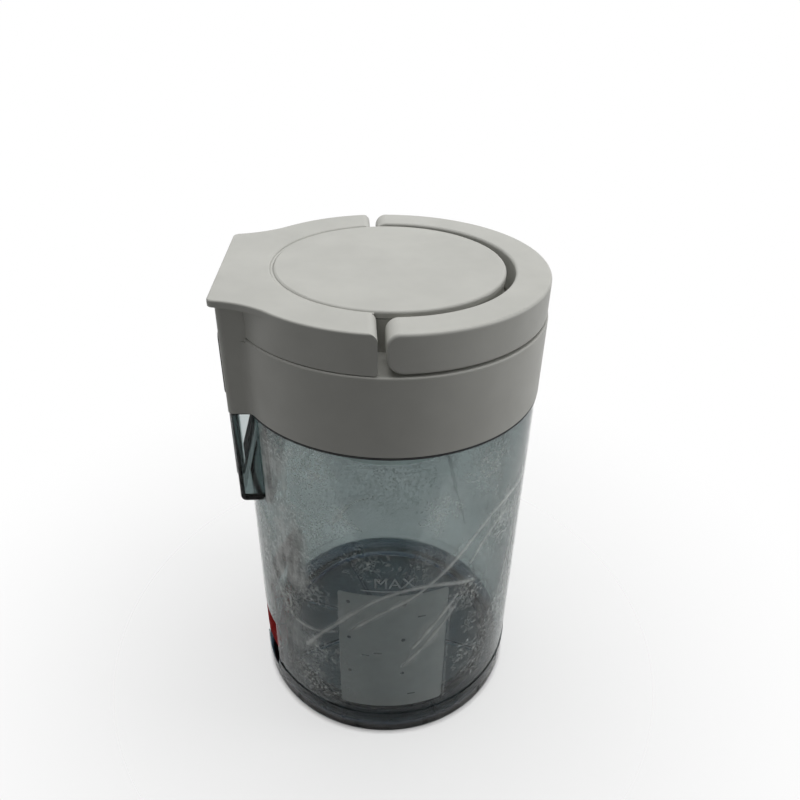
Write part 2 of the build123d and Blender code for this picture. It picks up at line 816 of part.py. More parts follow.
def make_label():
    """Blank label under the film, on the side wall."""
    inner = tank_radius + label_gap
    low = tank_bottom + label_rise
    shell = ring(inner + label_thickness, inner, low, low + label_height)
    outline = RectangleRounded(label_width, label_height, label_corner)
    face = Plane(origin=(0, 0, low + label_height / 2), x_dir=(1, 0, 0), z_dir=(0, -1, 0))
    return shell & extrude(face * outline, far)


inlet_sill = box_bottom + inlet_rise
outlet_sill = head_bottom + outlet_rise
pieces = {
    "dust_tank": make_tank(),
    "tank_gasket": make_tank_gasket(),
    "head_housing": make_head(),
    "top_cover": make_cover(),
    "centre_cap": make_cap(),
    "cap_seal": make_cap_seal(),
    "handle": make_handle(),
    "handle_pins": make_handle_pins(),
    "cover_screws": make_cover_screws(),
    "cyclone_ceiling": make_ceiling(),
    "cyclone_shroud": make_shroud(),
    "cyclone_cone": make_cone(),
    "vortex_tube": make_vortex_tube(),
    "filter_seal": make_filter_seal(),
    "filter_frame": make_filter_frame(),
    "filter_pleats": make_filter_pleats(),
    "inlet_seal": port_frame(-box_reach, inlet_half_width, inlet_sill, inlet_sill + inlet_height),
    "outlet_seal": port_frame(-column_reach, outlet_half_width, outlet_sill, outlet_sill + outlet_height),
    "bottom_lid": make_lid(),
    "lid_seal": make_lid_seal(),
    "lid_hinge_pin": make_hinge_pin(),
    "release_latch": make_latch(),
    "latch_pin": make_latch_pin(),
    "latch_spring": make_latch_spring(),
    "protective_film": make_film(),
    "side_label": make_label(),
}

os.makedirs("parts", exist_ok=True)
for name, piece in pieces.items():
    solids = piece if isinstance(piece, list) else [piece]
    export_step(Compound(children=solids) if len(solids) > 1 else solids[0], f"parts/{name}.step")
    volume = sum(solid.volume for solid in solids)
    print(f"{name}: {len(solids)} piece(s), {volume:.0f} cubic millimetres")
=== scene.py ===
# %% [markdown]
# A cyclone dust bin, finished in Blender around its CAD frame.
# The CAD nodes carry the rigid shapes. This lesson gives each of them a finish, and adds what is
# too thin, too soft or too fine for them: the creased film round the tank, the plain marks on the
# label, the raised fill mark, the groove round the disc, the lip of the gasket, and a copy of the
# return spring.

# %% Load the frame
import math

import bmesh
import bpy
import numpy as np
from mathutils import Matrix, Quaternion, Vector, noise


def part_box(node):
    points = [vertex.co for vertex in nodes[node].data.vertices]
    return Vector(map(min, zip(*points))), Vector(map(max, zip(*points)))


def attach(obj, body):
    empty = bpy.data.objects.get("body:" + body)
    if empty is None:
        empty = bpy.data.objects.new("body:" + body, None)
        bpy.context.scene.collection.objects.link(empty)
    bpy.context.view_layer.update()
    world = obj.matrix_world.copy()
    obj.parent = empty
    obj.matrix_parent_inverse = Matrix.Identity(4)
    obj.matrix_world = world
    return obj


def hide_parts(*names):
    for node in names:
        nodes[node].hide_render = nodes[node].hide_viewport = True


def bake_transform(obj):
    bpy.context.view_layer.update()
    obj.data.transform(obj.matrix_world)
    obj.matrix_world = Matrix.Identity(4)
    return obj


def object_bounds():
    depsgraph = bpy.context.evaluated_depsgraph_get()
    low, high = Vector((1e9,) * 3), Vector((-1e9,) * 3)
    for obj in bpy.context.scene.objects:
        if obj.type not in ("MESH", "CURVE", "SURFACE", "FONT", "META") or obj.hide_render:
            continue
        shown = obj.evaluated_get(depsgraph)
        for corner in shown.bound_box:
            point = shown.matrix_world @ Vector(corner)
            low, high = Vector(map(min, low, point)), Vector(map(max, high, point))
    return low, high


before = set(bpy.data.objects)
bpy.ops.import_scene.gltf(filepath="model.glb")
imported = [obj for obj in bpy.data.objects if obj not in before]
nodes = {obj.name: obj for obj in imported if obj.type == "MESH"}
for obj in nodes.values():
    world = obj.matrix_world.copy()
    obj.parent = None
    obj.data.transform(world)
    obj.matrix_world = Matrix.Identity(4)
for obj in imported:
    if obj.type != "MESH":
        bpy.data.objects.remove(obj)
cad_low, cad_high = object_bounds()
scene = bpy.context.scene
print("frame:", len(nodes), "nodes, height", round(cad_high.z, 4))

# %% [markdown]
# The camera stands where the photographer stood: a little above the bin, close to it, looking
# down at its side. A close camera with a wide lens makes the bin taper towards its foot, so the
# distance matters as much as the angle.

# %% Camera
camera_place = Vector((-0.0156, -0.3085, 0.3665))
camera_azimuth = math.radians(85.99)
camera_pitch = math.radians(31.98)
camera_roll = math.radians(1.26)
camera_lens = 31.32
camera_sensor = 36.0
camera_near = 0.01

looking = Vector((
    math.cos(camera_azimuth) * math.cos(camera_pitch),
    math.sin(camera_azimuth) * math.cos(camera_pitch),
    -math.sin(camera_pitch),
))
camera = bpy.data.objects.new("camera", bpy.data.cameras.new("camera"))
camera.data.sensor_width = camera_sensor
camera.data.lens = camera_lens
camera.data.clip_start = camera_near
camera.location = camera_place
camera.rotation_mode = "QUATERNION"
camera.rotation_quaternion = looking.to_track_quat("-Z", "Y") @ Quaternion((0, 0, 1), camera_roll)
scene.collection.objects.link(camera)
scene.camera = camera
scene.view_settings.view_transform = "Standard"
print("camera at", tuple(round(v, 3) for v in camera_place))

# %% [markdown]
# Materials are node trees. A few small helpers keep each recipe short: one makes the material
# and its main shader, one adds a node, and one joins two sockets. The Mix node has a pair of
# sockets for numbers, for vectors and for colours, so its colour sockets are named by position.

# %% Node helpers
mix_first_colour = 6
mix_second_colour = 7
mix_result_colour = 2


def new_material(name):
    """A material with one main shader. Returns the material, its tree and the shader."""
    material = bpy.data.materials.new(name)
    material.use_nodes = True
    tree = material.node_tree
    return material, tree, tree.nodes["Principled BSDF"]


def add(tree, kind, **settings):
    """A new node with its properties set."""
    node = tree.nodes.new("ShaderNode" + kind)
    for key, value in settings.items():
        setattr(node, key, value)
    return node


def join(tree, source, target):
    """Links an output socket to an input socket."""
    tree.links.new(source, target)


def fill(node, **values):
    """Sets input sockets by name, with _ for a space."""
    for key, value in values.items():
        node.inputs[key.replace("_", " ")].default_value = value


def object_noise(tree, scale, detail=4.0, roughness=0.55, stretch=(1, 1, 1)):
    """Noise in the object's own metres. Returns its value socket."""
    place = add(tree, "TexCoord")
    mapping = add(tree, "Mapping")
    mapping.inputs["Scale"].default_value = stretch
    texture = add(tree, "TexNoise")
    fill(texture, Scale=scale, Detail=detail, Roughness=roughness)
    join(tree, place.outputs["Object"], mapping.inputs["Vector"])
    join(tree, mapping.outputs["Vector"], texture.inputs["Vector"])
    return texture.outputs["Fac"]


def spread(tree, value, low, high, to_low=0.0, to_high=1.0):
    """Maps a span of values to another span, clamped."""
    node = add(tree, "MapRange")
    join(tree, value, node.inputs["Value"])
    fill(node, From_Min=low, From_Max=high, To_Min=to_low, To_Max=to_high)
    return node.outputs["Result"]


def combine(tree, operation, first, second):
    """Arithmetic on two sockets or numbers."""
    node = add(tree, "Math", operation=operation)
    for socket, value in zip(node.inputs, (first, second)):
        if isinstance(value, (int, float)):
            socket.default_value = value
        else:
            join(tree, value, socket)
    return node.outputs["Value"]


def two_colours(tree, value, first, second):
    """A colour between two, by a value."""
    node = add(tree, "Mix", data_type="RGBA")
    join(tree, value, node.inputs["Factor"])
    node.inputs[mix_first_colour].default_value = (*first, 1)
    node.inputs[mix_second_colour].default_value = (*second, 1)
    return node.outputs[mix_result_colour]


def bump(tree, shader, height, strength, distance):
    """Gives the shader a fine relief."""
    node = add(tree, "Bump")
    fill(node, Strength=strength, Distance=distance)
    join(tree, height, node.inputs["Height"])
    join(tree, node.outputs["Normal"], shader.inputs["Normal"])


# %% [markdown]
# The room is white and plain. The world looks white to the camera and through clear plastic, but
# gives only a modest fill light, so that the bin keeps its shading: bright on top and darker on
# its upright sides, as in a room with its lamps overhead.

# %% World
fill_light = 0.12

world = bpy.data.worlds.new("room")
scene.world = world
world.use_nodes = True
sky = world.node_tree
background = sky.nodes["Background"]
background.inputs["Color"].default_value = (1, 1, 1, 1)


def seen_directly(tree):
    """1 for camera, glossy and transmission rays, 0 for light that is scattered."""
    path = add(tree, "LightPath")
    seen = combine(tree, "MAXIMUM", path.outputs["Is Camera Ray"], path.outputs["Is Glossy Ray"])
    return combine(tree, "MAXIMUM", seen, path.outputs["Is Transmission Ray"])


join(sky, spread(sky, seen_directly(sky), 0, 1, fill_light, 1.0), background.inputs["Strength"])
print("world: white, with a fill light of", fill_light)

# %% [markdown]
# The floor is solid under the bin, where its shadow lies. Beside the bin it thins out into the white
# room, so that the open lid shows below it: the veil is how clear it is right beside the bin, and it
# gets clearer with the distance. The solid part is an oval, a little wider than deep.

# %% Floor
floor_radius = 4.0
floor_segments = 96
floor_dark_to = 0.068
floor_open_from = 0.071
floor_dark_centre = (0, -0.006, 0)
floor_dark_shape = (0.952, 1, 1)
floor_clear_from = 0.07
floor_clear_to = 0.34
floor_veil = 0.62
floor_seen = (0.92, 0.92, 0.92)
floor_scatter = (0.25, 0.25, 0.25)


def floor_material():
    """Pale floor for the bin's shadow. It thins out, so that an open lid shows below it."""
    material, tree, shader = new_material("floor_pale")
    fill(shader, Roughness=0.9, Specular_IOR_Level=0.0)
    seen = seen_directly(tree)
    join(tree, two_colours(tree, seen, floor_scatter, floor_seen), shader.inputs["Base Color"])
    open_air = add(tree, "BsdfTransparent")
    place = add(tree, "TexCoord")
    length = add(tree, "VectorMath", operation="LENGTH")
    join(tree, place.outputs["Object"], length.inputs[0])
    far = add(tree, "MapRange", interpolation_type="SMOOTHSTEP")
    fill(far, From_Min=floor_clear_from, From_Max=floor_clear_to, To_Min=floor_veil)
    join(tree, length.outputs["Value"], far.inputs["Value"])
    from_dark = add(tree, "VectorMath", operation="DISTANCE")
    from_dark.inputs[1].default_value = floor_dark_centre
    shape = add(tree, "Mapping")
    shape.inputs["Scale"].default_value = floor_dark_shape
    join(tree, place.outputs["Object"], shape.inputs["Vector"])
    join(tree, shape.outputs["Vector"], from_dark.inputs[0])
    beside = spread(tree, from_dark.outputs["Value"], floor_dark_to, floor_open_from)
    blend = add(tree, "MixShader")
    join(tree, combine(tree, "MULTIPLY", far.outputs["Result"], beside), blend.inputs["Fac"])
    join(tree, shader.outputs["BSDF"], blend.inputs[1])
    join(tree, open_air.outputs["BSDF"], blend.inputs[2])
    join(tree, blend.outputs["Shader"], tree.nodes["Material Output"].inputs["Surface"])
    return material


def mesh_object(name, bm, smooth=True):
    """Turns a bmesh into an object at the origin."""
    mesh = bpy.data.meshes.new(name)
    bm.to_mesh(mesh)
    bm.free()
    for polygon in mesh.polygons:
        polygon.use_smooth = smooth
    piece = bpy.data.objects.new(name, mesh)
    scene.collection.objects.link(piece)
    return piece


floor_bm = bmesh.new()
bmesh.ops.create_circle(floor_bm, cap_ends=True, segments=floor_segments, radius=floor_radius)
floor = mesh_object("floor", floor_bm, smooth=False)
floor.data.materials.append(floor_material())
print("floor: radius", floor_radius, "m, solid out to", floor_dark_to, "m")

# %% [markdown]
# Three large soft lamps light the bin: one overhead, a weak one at the left and a stronger one at
# the right. They are hidden from the camera and through clear plastic, so none shows in the tank.

# %% Lamps
bin_middle = (0, 0, cad_high.z / 2)
lamps = [
    # name, place, size in metres, power in watts
    ("ceiling_lamp", (0.05, 0.25, 1.5), (1.6, 1.2), 16),
    ("left_lamp", (-1.3, 0.2, 0.6), (0.5, 1.2), 0.9),
    ("right_lamp", (1.25, -0.1, 0.6), (0.5, 1.2), 5.6),
]


def lamp(name, place, target, size, power):
    """A large soft lamp that looks at a point. It doesn't show through the clear tank."""
    data = bpy.data.lights.new(name, "AREA")
    data.shape = "RECTANGLE"
    data.size, data.size_y = size
    data.energy = power
    light = bpy.data.objects.new(name, data)
    light.location = place
    light.rotation_mode = "QUATERNION"
    light.rotation_quaternion = (Vector(target) - Vector(place)).to_track_quat("-Z", "Y")
    light.visible_camera = False
    light.visible_transmission = False
    scene.collection.objects.link(light)


for name, place, size, power in lamps:
    lamp(name, place, bin_middle, size, power)
print("lamps:", len(lamps))

# %% [markdown]
# Moulded plastic is never one flat colour. The head is a satin grey with a very fine grain from
# the mould, a little uneven in tone, and slightly glossier where it has been handled. Every pattern
# is noise in the object's own metres: a larger scale is a finer pattern. Most values of the noise
# lie in the middle of 0 to 1, so a span says which part of it is spread out.

# %% Satin plastic
noise_middle = (0.3, 0.7)
tone_scale = 38.0
handled_scale = 90.0
handled_span = (0.25, 0.75)
handled_swing = 0.07
mould_grain_scale = 2600.0
mould_grain_strength = 0.22
mould_grain_depth = 0.00012


def satin_plastic(name, colour, roughness, specular=0.35, tone=0.05):
    """Moulded plastic with a fine grain and a slightly uneven tone."""
    material, tree, shader = new_material(name)
    fill(shader, Specular_IOR_Level=specular)
    uneven = spread(tree, object_noise(tree, tone_scale, detail=3), *noise_middle)
    darker = tuple(c * (1 - tone) for c in colour)
    lighter = tuple(min(1.0, c * (1 + tone)) for c in colour)
    join(tree, two_colours(tree, uneven, darker, lighter), shader.inputs["Base Color"])
    handled = object_noise(tree, handled_scale, detail=5)
    glossy = roughness - handled_swing
    matt = roughness + handled_swing
    join(tree, spread(tree, handled, *handled_span, glossy, matt), shader.inputs["Roughness"])
    grain = object_noise(tree, mould_grain_scale, detail=2)
    bump(tree, shader, grain, mould_grain_strength, mould_grain_depth)
    return material


head_grey = satin_plastic("head_grey", (0.52, 0.52, 0.485), 0.5)
cyclone_grey = satin_plastic("cyclone_grey", (0.62, 0.67, 0.66), 0.5)
latch_red = satin_plastic("latch_red", (0.34, 0.01, 0.009), 0.7, specular=0.02)
print("satin plastics:", head_grey.name, cyclone_grey.name, latch_red.name)

# %% [markdown]
# The seals are black rubber with a dusty bloom, the pins, screws and spring are drawn steel with fine
# marks along it, and the filter is a felt of pressed fibres. Each is a colour between two, chosen by
# its own noise.

# %% Rubber, steel and filter sheet
rubber_colours = ((0.012, 0.012, 0.013), (0.05, 0.05, 0.05))
bloom_scale = 160.0
bloom_span = (0.45, 0.75)
rubber_grain_scale = 1800.0
rubber_grain_strength = 0.3
rubber_grain_depth = 0.0001
steel_colours = ((0.46, 0.46, 0.47), (0.7, 0.7, 0.71))
steel_roughness = (0.24, 0.42)
drawn_mark_scale = 900.0
drawn_mark_stretch = (1.0, 0.06, 1.0)
fibre_colours = ((0.62, 0.61, 0.57), (0.84, 0.83, 0.8))
fibre_scale = 1400.0
fibre_stretch = (1.0, 0.3, 1.0)
fibre_strength = 0.5
fibre_depth = 0.0002


def black_rubber(name):
    """Matt rubber with a dusty bloom."""
    material, tree, shader = new_material(name)
    bloom = spread(tree, object_noise(tree, bloom_scale, detail=6), *bloom_span)
    join(tree, two_colours(tree, bloom, *rubber_colours), shader.inputs["Base Color"])
    fill(shader, Roughness=0.72, Specular_IOR_Level=0.3)
    grain = object_noise(tree, rubber_grain_scale, detail=2)
    bump(tree, shader, grain, rubber_grain_strength, rubber_grain_depth)
    return material


def drawn_steel(name):
    """Bright wire and pin steel with fine marks along Y."""
    material, tree, shader = new_material(name)
    marks = object_noise(tree, drawn_mark_scale, detail=3, stretch=drawn_mark_stretch)
    join(tree, two_colours(tree, marks, *steel_colours), shader.inputs["Base Color"])
    join(tree, spread(tree, marks, *noise_middle, *steel_roughness), shader.inputs["Roughness"])
    fill(shader, Metallic=1.0)
    return material


def filter_sheet(name):
    """Off-white pressed fibre."""
    material, tree, shader = new_material(name)
    fibres = object_noise(tree, fibre_scale, detail=6, stretch=fibre_stretch)
    join(tree, two_colours(tree, fibres, *fibre_colours), shader.inputs["Base Color"])
    fill(shader, Roughness=0.95, Specular_IOR_Level=0.1)
    bump(tree, shader, fibres, fibre_strength, fibre_depth)
    return material


rubber = black_rubber("black_rubber")
steel = drawn_steel("steel")
fibre = filter_sheet("filter_white")
print("opaque finishes:", rubber.name, steel.name, fibre.name)

# %% [markdown]
# Smoke-clear plastic takes its tint from its depth: a wall seen face on is a light blue-grey, and
# an edge or a corner, where the light travels far inside it, turns navy. So the tint is absorption
# inside the wall and not a colour on its skin. Lamps pass it as if it were a thin pane, so that
# what stands inside is lit. The cone inside is thinner and clearer, so the far wall shows through.

# %% Clear finishes
scuff_scale = 240.0
scuff_span = (0.5, 0.72)
milk_scale = 60.0
milk_cover = (0.05, 0.1)


def smoke_clear(name, passed, density, lamp_tint, bend=1.2, smooth=0.03, dull=0.12):
    """Clear tinted plastic with faint scuffs."""
    material, tree, shader = new_material(name)
    fill(shader, Base_Color=(1, 1, 1, 1), Transmission_Weight=1.0, IOR=bend)
    scuffs = object_noise(tree, scuff_scale, detail=8, roughness=0.7)
    join(tree, spread(tree, scuffs, *scuff_span, smooth, dull), shader.inputs["Roughness"])
    pane = add(tree, "BsdfTransparent")
    pane.inputs["Color"].default_value = (*lamp_tint, 1)
    path = add(tree, "LightPath")
    blend = add(tree, "MixShader")
    join(tree, path.outputs["Is Shadow Ray"], blend.inputs["Fac"])
    join(tree, shader.outputs["BSDF"], blend.inputs[1])
    join(tree, pane.outputs["BSDF"], blend.inputs[2])
    depth = add(tree, "VolumeAbsorption")
    fill(depth, Color=(*passed, 1), Density=density)
    output = tree.nodes["Material Output"]
    join(tree, blend.outputs["Shader"], output.inputs["Surface"])
    join(tree, depth.outputs["Volume"], output.inputs["Volume"])
    return material


def cone_clear(name):
    """Thin clear plastic, only a little milky, so that the far wall shows through it."""
    material, tree, shader = new_material(name)
    fill(shader, Base_Color=(0.2, 0.27, 0.28, 1), Roughness=0.3, Specular_IOR_Level=0.4)
    milky = object_noise(tree, milk_scale, detail=4)
    join(tree, spread(tree, milky, *noise_middle, *milk_cover), shader.inputs["Alpha"])
    return material


tank_clear = smoke_clear(
    "smoke_clear", passed=(0.09, 0.21, 0.21), density=280.0, lamp_tint=(0.62, 0.65, 0.66),
)
lid_clear = smoke_clear(
    "smoke_dark", passed=(0.12, 0.28, 0.4), density=240.0, lamp_tint=(0.07, 0.08, 0.092),
    bend=1.31, dull=0.06,
)
print("clear finishes:", tank_clear.name, lid_clear.name)

# %% [markdown]
# Each finish goes to the CAD nodes that are made of it. The film and the label aren't in this list,
# because sheets made below take their place.

# %% Finishes of the CAD nodes
finishes = {
    head_grey: ("head_housing", "top_cover", "centre_cap", "handle"),
    cyclone_grey: ("cyclone_ceiling", "cyclone_shroud", "vortex_tube", "filter_frame"),
    cone_clear("cone_clear"): ("cyclone_cone",),
    latch_red: ("release_latch",),
    rubber: ("tank_gasket", "cap_seal", "filter_seal", "inlet_seal", "outlet_seal", "lid_seal"),
    steel: ("handle_pins", "cover_screws", "lid_hinge_pin", "latch_pin", "latch_spring"),
    fibre: ("filter_pleats",),
    tank_clear: ("dust_tank",),
    lid_clear: ("bottom_lid",),
}
for material, names in finishes.items():
    for name in names:
        mesh = nodes[name].data
        mesh.materials.clear()
        mesh.materials.append(material)
print("finished:", sum(len(names) for names in finishes.values()), "CAD nodes")

# %% [markdown]
# The film, the label and the fill mark all lie on the round wall. Each is drawn flat first, as
# width along the wall, level and stand-out, and then wrapped: the flat width becomes an angle
# from the front of the tank.

# %% Wrapping round the tank
film_low, film_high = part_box("protective_film")
label_low, label_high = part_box("side_label")
film_inset = 0.0002
film_over_wall = 0.0003
film_radius = film_high.y - film_inset
label_radius = -label_low.y
wall_radius = film_radius - film_over_wall
front = math.radians(-90)
merge_distance = 0.000002


def wrap(bm, radius):
    """Bends a flat bmesh (width, level, stand-out) round the tank's axis, in metres."""
    for vert in bm.verts:
        angle = front + vert.co.x / radius
        reach = radius + vert.co.z
        vert.co = (reach * math.cos(angle), reach * math.sin(angle), vert.co.y)


def cut_in_strips(bm, half_width, step):
    """Cuts a flat shape across its width, so that it can bend, and merges doubles along the cuts."""
    cut = step - half_width
    while cut < half_width - step / 2:
        everything = bm.verts[:] + bm.edges[:] + bm.faces[:]
        bmesh.ops.bisect_plane(bm, geom=everything, plane_co=(cut, 0, 0), plane_no=(1, 0, 0))
        cut += step
    bmesh.ops.remove_doubles(bm, verts=bm.verts, dist=merge_distance)
    bmesh.ops.dissolve_degenerate(bm, edges=bm.edges, dist=merge_distance)


def on_wall(azimuth, level):
    """A place on the wall, from degrees and millimetres to flat metres."""
    return ((math.radians(azimuth) - front) * wall_radius, level / 1000)


print("wall radius", round(wall_radius, 4), "film radius", round(film_radius, 4))

# %% [markdown]
# The film is a thin clear sheet that was pulled round the tank at the factory and never peeled
# off. Two long folds run across the front, shorter ones branch from them, and air has crept under
# it in frosty patches. The sheet starts as a fine flat grid. Folds are lines drawn on the wall, and
# each lifts the sheet in a narrow ridge, its core, on a broader and lower base.

# %% Folds of the film
folds = [
    # share of the full height, width in millimetres, then azimuth in degrees and level in millimetres
    (0.8, 0.86, [(-108, 80), (-95, 97), (-81, 108), (-67, 125), (-57, 139), (-47, 148), (-25, 150)]),
    (1.0, 0.9, [(-128, 56), (-119, 74), (-102, 100), (-93, 109), (-84, 113), (-74, 113), (-55, 105)]),
    (0.7, 0.94, [(-83, 68), (-73, 86), (-64, 102)]),
    (0.6, 0.94, [(-87, 55), (-79, 67), (-69, 85), (-65, 94)]),
    (0.8, 0.65, [(-133, 73), (-125, 72), (-116, 76), (-112, 79)]),
    (0.6, 0.72, [(-149, 106), (-144, 94), (-138, 80), (-133, 73)]),
    (0.5, 0.65, [(-113, 149), (-110, 157), (-105, 166), (-97, 171)]),
    (0.4, 0.65, [(-110, 157), (-107, 154), (-100, 148)]),
    (0.4, 1.01, [(-157, 148), (-149, 132), (-143, 118), (-139, 100)]),
    (0.6, 0.79, [(-60, 118), (-52, 134), (-38, 142)]),
    (0.4, 0.86, [(-45, 60), (-38, 84), (-30, 120)]),
    (0.4, 0.5, [(-67.5, 104), (-67.5, 60), (-67.5, 21)]),
    (0.2, 0.5, [(-111.5, 104), (-111.5, 60), (-111.5, 21)]),
    (0.5, 0.94, [(40, 40), (55, 90), (62, 150)]),
    (0.6, 0.94, [(70, 150), (95, 120), (118, 112), (140, 90)]),
    (0.5, 0.94, [(-10, 30), (12, 70), (20, 130), (14, 170)]),
]
core_height = 0.0007
base_height = 0.0002
base_spread = 4.2
# How white a fold is, from its core and base: stress-whitening and a painted highlight.
crease_of_core = 0.8
crease_of_base = 0.2
fold_taper = 0.12
print("folds:", len(folds))

# %% [markdown]
# Between the folds the film is not evenly clear. Frost is where air lies under it, and haze is where
# it is scuffed and dull. Both are soft spots on the wall, drawn as the folds are, and the
# material reads them later as attributes of the sheet.

# %% Frost and haze
frost_patches = [
    # azimuth, level, radius in millimetres, strength
    (-137.5, 83, 11, 0.9), (-122, 98, 11, 0.9), (-118, 56, 13, 1.0), (-122, 31, 16, 1.0),
    (-100.5, 128, 13, 0.9), (-82, 125, 11, 0.6), (-58, 97, 11, 1.0), (-45, 57, 16, 0.7),
    (-58, 50, 12, 0.85), (-50, 37, 14, 0.7), (-39, 69, 15, 0.75), (-56, 75, 9, 0.7),
    (-135, 183, 12, 0.8), (-121, 180, 14, 0.8), (-130, 144, 14, 0.9), (-142, 125, 15, 0.9),
    (-112, 152, 11, 0.8), (-92, 177, 9, 0.4), (-54, 178, 14, 0.7), (-76, 158, 10, 0.5),
    (-42, 131, 15, 0.8), (-126, 120, 12, 0.6), (-150, 100, 14, 0.8),
    (30, 120, 34, 0.7), (90, 60, 34, 0.8), (120, 140, 30, 0.7), (0, 60, 24, 0.7),
]
haze_zones = [
    # azimuth, level, half width in degrees, half height in millimetres, strength
    (-135, 160, 22, 36, 0.9), (-145, 100, 16, 50, 1.0), (-70, 146, 13, 28, 0.8),
    (-45, 140, 22, 46, 0.6), (-136, 40, 16, 30, 0.7), (-133, 120, 10, 24, 2.2),
    (-141, 164, 11, 26, 2.3), (-155, 95, 12, 48, 1.5), (-26, 100, 14, 84, 0.9),
    (-81, 66, 3, 8, 0.5), (-75, 78, 3.5, 9, 0.6), (-69, 90, 3, 8, 0.5), (-133, 62, 9, 14, 1.2),
    (-124, 63, 4, 7, 0.9), (-105, 92, 8, 6, 0.4), (-88, 104, 6, 5, 0.35),
    (40, 110, 60, 60, 0.7), (110, 100, 40, 70, 0.8),
]
print("soft spots:", len(frost_patches), "of frost and", len(haze_zones), "of haze")

# %% [markdown]
# A fold is a line through a few places. Cutting its corners again and again rounds it. Each point of
# the sheet then needs its distance to the line, for the ridge, and how far along the line it lies,
# so that the ridge can run out at both ends.

# %% Lines on the wall
corner_cut = 0.25
far_away = 1.0
shortest_step = 1e-12


def rounded(points, times=3):
    """Cuts the corners of a line again and again, which rounds it."""
    near = 1 - corner_cut
    for _ in range(times):
        cut = [points[0]]
        for a, b in zip(points, points[1:]):
            cut.append((a[0] * near + b[0] * corner_cut, a[1] * near + b[1] * corner_cut))
            cut.append((a[0] * corner_cut + b[0] * near, a[1] * corner_cut + b[1] * near))
        cut.append(points[-1])
        points = cut
    return points


def distance_to(points, flat):
    """Distance of each flat place to a line, and how far along the line it lies, from 0 to 1."""
    best = np.full(len(flat), far_away)
    along = np.zeros(len(flat))
    count = len(points) - 1
    for i in range(count):
        a = np.array(points[i])
        step = np.array(points[i + 1]) - a
        share = np.clip(((flat - a) @ step) / max(step @ step, shortest_step), 0, 1)
        gap = np.linalg.norm(flat - a - share[:, None] * step, axis=1)
        nearer = gap < best
        best[nearer] = gap[nearer]
        along[nearer] = (i + share[nearer]) / count
    return best, along


# %% [markdown]
# The sheet is a grid of cells just under a millimetre, fine enough to carry the folds. It reaches
# nearly round the tank, and its two ends are cut back beside a tab.

# %% Flat sheet of the film
film_cell = 0.00094
film_half_angle = math.radians(146)
film_tab_half_angle = math.acos(film_low.x / film_high.y)
film_tab_from = 0.048
film_tab_to = 0.136
film_width = 2 * film_tab_half_angle * film_radius
film_length = film_high.z - film_low.z

film_bm = bmesh.new()
bmesh.ops.create_grid(
    film_bm,
    x_segments=round(film_width / film_cell),
    y_segments=round(film_length / film_cell),
    size=0.5,
)
bmesh.ops.scale(film_bm, vec=(film_width, film_length, 1), verts=film_bm.verts)
film_middle = (film_low.z + film_high.z) / 2
front_shift = -front * film_radius
bmesh.ops.translate(film_bm, vec=(front_shift, film_middle, 0), verts=film_bm.verts)

tab_start = film_half_angle * film_radius
cut_away = [
    vert for vert in film_bm.verts
    if abs(vert.co.x - front_shift) > tab_start and not film_tab_from < vert.co.y < film_tab_to
]
bmesh.ops.delete(film_bm, geom=cut_away, context="VERTS")
print("film:", round(film_width, 3), "by", round(film_length, 3), "m,", len(film_bm.faces), "faces")

# %% [markdown]
# Folds lift the sheet, with a little slack between them, and no higher than the head above it stands
# out. Then the sheet is wrapped, and keeps how strongly each point is creased, frosted or hazy.

# %% Folding and wrapping the film
slack_height = 0.00012
slack_across = 90
slack_up = 45
fold_room = cad_high.y - film_radius - slack_height

flat = np.array([(v.co.x, v.co.y) for v in film_bm.verts])
lift = np.zeros(len(flat))
crease = np.zeros(len(flat))
for share, width, points in folds:
    line = rounded([on_wall(*point) for point in points])
    gap, along = distance_to(line, flat)
    taper = np.clip(np.minimum(along, 1 - along) / fold_taper, 0, 1)
    core = share * taper * np.exp(-(gap / (width / 1000)) ** 2)
    base = share * taper * np.exp(-(gap / (base_spread * width / 1000)) ** 2)
    lift = np.maximum(lift, core_height * core + base_height * base)
    crease = np.maximum(crease, crease_of_core * core + crease_of_base * base)
frost = np.zeros(len(flat))
for azimuth, level, radius, strength in frost_patches:
    x, y = on_wall(azimuth, level)
    gap = np.hypot(flat[:, 0] - x, flat[:, 1] - y) / (radius / 1000)
    frost = np.maximum(frost, strength * np.exp(-gap ** 2))
haze = np.zeros(len(flat))
for azimuth, level, half_width, half_height, strength in haze_zones:
    x, y = on_wall(azimuth, level)
    across = (flat[:, 0] - x) / (math.radians(half_width) * wall_radius)
    up = (flat[:, 1] - y) / (half_height / 1000)
    haze = np.maximum(haze, strength * np.exp(-(across ** 4 + up ** 4)))

for vert, height in zip(film_bm.verts, np.minimum(lift, fold_room)):
    slack = noise.noise((vert.co.x * slack_across, vert.co.y * slack_up, 0.0))
    vert.co.z = height + slack_height * max(0.0, slack)
wrap(film_bm, film_radius)
film = mesh_object("film_wrap", film_bm)
for name, values in (("crease", crease), ("frost", frost), ("haze", haze)):
    attribute = film.data.attributes.new(name, "FLOAT", "POINT")
    attribute.data.foreach_set("value", values.astype(np.float32))
print("highest fold:", round(float(min(lift.max(), fold_room)), 5), "m")
